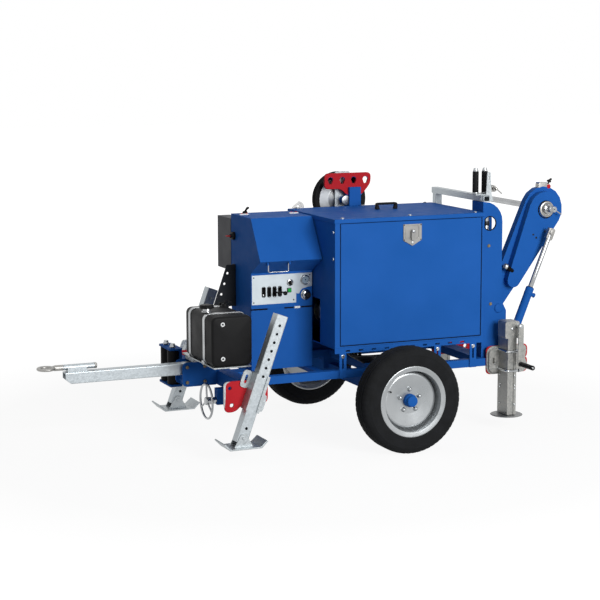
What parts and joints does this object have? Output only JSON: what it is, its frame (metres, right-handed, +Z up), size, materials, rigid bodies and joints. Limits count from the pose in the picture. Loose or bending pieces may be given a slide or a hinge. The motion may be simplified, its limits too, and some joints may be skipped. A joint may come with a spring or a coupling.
{
  "type": "hydraulic puller winch",
  "caption": "Trailer-mounted hydraulic puller winch with grooved bull-wheel capstans, motor hood, control cabinet, fuel tank, stabilisers and a lowering reel winder.",
  "frame": {"origin": "middle of the bounding box on the ground, under the machine", "axes": "+X along the trailer from the towing eye to the reel arm, +Y to the capstan side, +Z up"},
  "size_m": [2.9514, 1.46, 1.409],
  "materials": {
    "blue_paint": "gloss",
    "galvanised_steel": "satin",
    "bright_steel": "satin",
    "chrome_plate": "polished",
    "silver_paint": "satin",
    "brushed_panel": "brushed",
    "black_plastic": "satin",
    "green_plastic": "gloss",
    "black_rubber": "matt",
    "tyre_rubber": "matt",
    "cast_metal": "matt",
    "dark_paint": "matt"
  },
  "bodies": {
    "machine": {"chassis_frame": "blue_paint", "control_cabinet": "blue_paint", "control_panel": "brushed_panel", "hood_shell": "blue_paint", "hood_lid": "blue_paint", "lid_handle": "black_plastic", "engine_block": "cast_metal", "hydraulic_pump": "bright_steel", "oil_cooler": "dark_paint", "guard_beam": "dark_paint", "fuel_tank": "black_plastic", "tank_cradle": "galvanised_steel", "drawbar_tube": "galvanised_steel", "leg_sleeve_near": "galvanised_steel", "leg_sleeve_far": "galvanised_steel", "jack_tube_near": "galvanised_steel", "jack_tube_far": "galvanised_steel", "reel_column": "blue_paint", "level_wind_beam": "galvanised_steel", "capstan_plate": "blue_paint", "pulley_mast": "blue_paint"},
    "wheel_near": {"tyre_near": "tyre_rubber", "wheel_rim_near": "silver_paint"},
    "wheel_far": {"tyre_far": "tyre_rubber", "wheel_rim_far": "silver_paint"},
    "front_leg_near": {"front_leg_near": "galvanised_steel"},
    "front_foot_near": {"front_foot_near": "galvanised_steel"},
    "jack_leg_near": {"jack_leg_near": "galvanised_steel"},
    "jack_crank_near": {"jack_crank_near": "galvanised_steel"},
    "front_leg_far": {"front_leg_far": "galvanised_steel"},
    "front_foot_far": {"front_foot_far": "galvanised_steel"},
    "jack_leg_far": {"jack_leg_far": "galvanised_steel"},
    "jack_crank_far": {"jack_crank_far": "galvanised_steel"},
    "towing_eye": {"towing_eye": "galvanised_steel"},
    "handwheel": {"handwheel": "chrome_plate"},
    "front_roller_1": {"front_roller_1": "black_rubber"},
    "front_roller_2": {"front_roller_2": "black_rubber"},
    "tank_cap": {"tank_cap": "black_plastic"},
    "sloping_cover": {"sloping_cover": "blue_paint"},
    "cover_handle": {"cover_handle": "chrome_plate"},
    "control_lever_1": {"control_lever_1": "black_plastic"},
    "control_lever_2": {"control_lever_2": "black_plastic"},
    "valve_knob": {"valve_knob": "black_plastic"},
    "key_switch": {"key_switch": "chrome_plate"},
    "start_button": {"start_button": "green_plastic"},
    "battery_isolator": {"battery_isolator": "black_plastic"},
    "clamp_lever": {"clamp_lever": "black_plastic"},
    "gauge_needle": {"gauge_needle": "black_plastic"},
    "side_door": {"side_door": "blue_paint"},
    "door_latch": {"door_latch": "galvanised_steel"},
    "guide_pulley": {"guide_pulley": "silver_paint"},
    "bull_wheel_1": {"bull_wheel_1": "bright_steel"},
    "bull_wheel_2": {"bull_wheel_2": "bright_steel"},
    "reel_arm": {"reel_arm": "blue_paint"},
    "cylinder_barrel": {"cylinder_barrel": "blue_paint"},
    "cylinder_rod": {"cylinder_rod": "chrome_plate"},
    "reel_shaft": {"reel_shaft": "bright_steel"},
    "wind_carriage": {"wind_carriage": "galvanised_steel"},
    "wind_roller_1": {"wind_roller_1": "black_rubber"},
    "wind_roller_2": {"wind_roller_2": "black_rubber"}
  },
  "joints": [
    {"name": "wheel_near_spin", "type": "hinge", "parent": "machine", "child": "wheel_near", "pos_m": [0.30732, -0.657, 0.278], "axis": [0, 1, 0], "continuous": true},
    {"name": "front_leg_near_slide", "type": "slide", "parent": "machine", "child": "front_leg_near", "axis": [0.3371, 0, 0.9415], "range_m": [-0.18, 0]},
    {"name": "front_foot_near_tilt", "type": "hinge", "parent": "front_leg_near", "child": "front_foot_near", "pos_m": [-0.55668, -0.505, 0.13], "axis": [0, 1, 0], "range_deg": [-20, 20]},
    {"name": "jack_crank_near_turn", "type": "hinge", "parent": "machine", "child": "jack_crank_near", "pos_m": [1.08532, -0.435, 0.576], "axis": [0, 1, 0], "range_deg": [0, 7200]},
    {"name": "jack_leg_near_slide", "type": "slide", "parent": "machine", "child": "jack_leg_near", "axis": [0, 0, 1], "range_m": [-0.2, 0]},
    {"name": "wheel_far_spin", "type": "hinge", "parent": "machine", "child": "wheel_far", "pos_m": [0.30732, 0.657, 0.278], "axis": [0, 1, 0], "continuous": true},
    {"name": "front_leg_far_slide", "type": "slide", "parent": "machine", "child": "front_leg_far", "axis": [0.3371, 0, 0.9415], "range_m": [-0.18, 0]},
    {"name": "front_foot_far_tilt", "type": "hinge", "parent": "front_leg_far", "child": "front_foot_far", "pos_m": [-0.55668, 0.505, 0.13], "axis": [0, 1, 0], "range_deg": [-20, 20]},
    {"name": "jack_crank_far_turn", "type": "hinge", "parent": "machine", "child": "jack_crank_far", "pos_m": [1.08532, 0.435, 0.576], "axis": [0, 1, 0], "range_deg": [0, 7200]},
    {"name": "jack_leg_far_slide", "type": "slide", "parent": "machine", "child": "jack_leg_far", "axis": [0, 0, 1], "range_m": [-0.2, 0]},
    {"name": "towing_eye_swivel", "type": "hinge", "parent": "machine", "child": "towing_eye", "pos_m": [-1.42768, 0, 0.457], "axis": [1, 0, 0], "continuous": true},
    {"name": "handwheel_turn", "type": "hinge", "parent": "machine", "child": "handwheel", "pos_m": [-0.61268, -0.15, 0.249], "axis": [1, 0, 0], "continuous": true},
    {"name": "front_roller_1_spin", "type": "hinge", "parent": "machine", "child": "front_roller_1", "pos_m": [-0.69268, 0.15, 0.385], "axis": [0, 0, 1], "continuous": true},
    {"name": "front_roller_2_spin", "type": "hinge", "parent": "machine", "child": "front_roller_2", "pos_m": [-0.69268, 0.258, 0.385], "axis": [0, 0, 1], "continuous": true},
    {"name": "tank_cap_turn", "type": "hinge", "parent": "machine", "child": "tank_cap", "pos_m": [-0.63568, -0.229, 0.763], "axis": [0, 0, 1], "range_deg": [0, 120]},
    {"name": "cover_hinge", "type": "hinge", "parent": "machine", "child": "sloping_cover", "pos_m": [-0.13568, -0.0363, 1.183], "axis": [1, 0, 0], "range_deg": [-60, 0]},
    {"name": "cover_handle_swing", "type": "hinge", "parent": "sloping_cover", "child": "cover_handle", "pos_m": [-0.20268, -0.153, 0.952], "axis": [1, 0, 0], "range_deg": [-80, 45]},
    {"name": "control_lever_1_tilt", "type": "hinge", "parent": "machine", "child": "control_lever_1", "pos_m": [-0.17968, -0.02, 0.786], "axis": [1, 0, 0], "range_deg": [-12, 12], "stiffness_Nm_per_rad": 4},
    {"name": "control_lever_2_tilt", "type": "hinge", "parent": "machine", "child": "control_lever_2", "pos_m": [-0.14868, -0.02, 0.786], "axis": [1, 0, 0], "range_deg": [-12, 12], "stiffness_Nm_per_rad": 4},
    {"name": "valve_knob_turn", "type": "hinge", "parent": "machine", "child": "valve_knob", "pos_m": [0.00132, -0.04, 0.76], "axis": [0, 1, 0], "range_deg": [-150, 150]},
    {"name": "key_switch_turn", "type": "hinge", "parent": "machine", "child": "key_switch", "pos_m": [-0.08968, -0.04, 0.83], "axis": [0, 1, 0], "range_deg": [0, 60]},
    {"name": "start_button_press", "type": "slide", "parent": "machine", "child": "start_button", "axis": [0, 1, 0], "range_m": [0, 0.004], "stiffness_N_per_m": 500},
    {"name": "battery_isolator_turn", "type": "hinge", "parent": "machine", "child": "battery_isolator", "pos_m": [-0.31468, 0.207, 1.067], "axis": [1, 0, 0], "range_deg": [0, 90]},
    {"name": "clamp_lever_turn", "type": "hinge", "parent": "machine", "child": "clamp_lever", "pos_m": [-0.25268, 0.2, 1.185], "axis": [0, 0, 1], "range_deg": [-90, 90]},
    {"name": "gauge_needle_swing", "type": "hinge", "parent": "machine", "child": "gauge_needle", "pos_m": [-0.00268, -0.042, 0.841], "axis": [0, 1, 0], "range_deg": [0, 250], "stiffness_Nm_per_rad": 0.01},
    {"name": "side_door_hinge", "type": "hinge", "parent": "machine", "child": "side_door", "pos_m": [0.49632, -0.324, 0.5206], "axis": [1, 0, 0], "range_deg": [0, 75]},
    {"name": "door_latch_turn", "type": "hinge", "parent": "side_door", "child": "door_latch", "pos_m": [0.49532, -0.326, 1.104], "axis": [0, 1, 0], "range_deg": [0, 90]},
    {"name": "guide_pulley_spin", "type": "hinge", "parent": "machine", "child": "guide_pulley", "pos_m": [0.41032, 0.432, 1.22], "axis": [0, 1, 0], "continuous": true},
    {"name": "bull_wheel_1_spin", "type": "hinge", "parent": "machine", "child": "bull_wheel_1", "pos_m": [0.19732, 0.495, 0.78], "axis": [0, 1, 0], "continuous": true},
    {"name": "bull_wheel_2_spin", "type": "hinge", "parent": "machine", "child": "bull_wheel_2", "pos_m": [0.52232, 0.495, 0.78], "axis": [0, 1, 0], "continuous": true},
    {"name": "reel_arm_lower", "type": "hinge", "parent": "machine", "child": "reel_arm", "pos_m": [1.04532, -0.204, 0.655], "axis": [0, 1, 0], "range_deg": [0, 60]},
    {"name": "cylinder_barrel_swing", "type": "hinge", "parent": "machine", "child": "cylinder_barrel", "pos_m": [1.11132, -0.324, 0.487], "axis": [0, 1, 0], "range_deg": [0, 54]},
    {"name": "cylinder_rod_stroke", "type": "slide", "parent": "cylinder_barrel", "child": "cylinder_rod", "axis": [0.3786, 0, 0.9256], "range_m": [-0.171, 0]},
    {"name": "reel_shaft_spin", "type": "hinge", "parent": "reel_arm", "child": "reel_shaft", "pos_m": [1.35632, -0.204, 1.188], "axis": [0, 1, 0], "continuous": true},
    {"name": "wind_carriage_travel", "type": "slide", "parent": "machine", "child": "wind_carriage", "axis": [0, 1, 0], "range_m": [0, 0.45]},
    {"name": "wind_roller_1_spin", "type": "hinge", "parent": "wind_carriage", "child": "wind_roller_1", "pos_m": [0.93432, -0.214, 1.347], "axis": [0, 0, 1], "continuous": true},
    {"name": "wind_roller_2_spin", "type": "hinge", "parent": "wind_carriage", "child": "wind_roller_2", "pos_m": [0.99032, -0.214, 1.347], "axis": [0, 0, 1], "continuous": true}
  ],
  "couplings": [
    {"joint": "jack_leg_near_slide", "follows": "jack_crank_near_turn", "m_per_rad": -0.00159},
    {"joint": "jack_leg_far_slide", "follows": "jack_crank_far_turn", "m_per_rad": -0.00159},
    {"joint": "bull_wheel_2_spin", "follows": "bull_wheel_1_spin", "ratio": 1},
    {"joint": "cylinder_barrel_swing", "follows": "reel_arm_lower", "ratio": 0.8928},
    {"joint": "cylinder_rod_stroke", "follows": "reel_arm_lower", "m_per_rad": -0.1627}
  ]
}
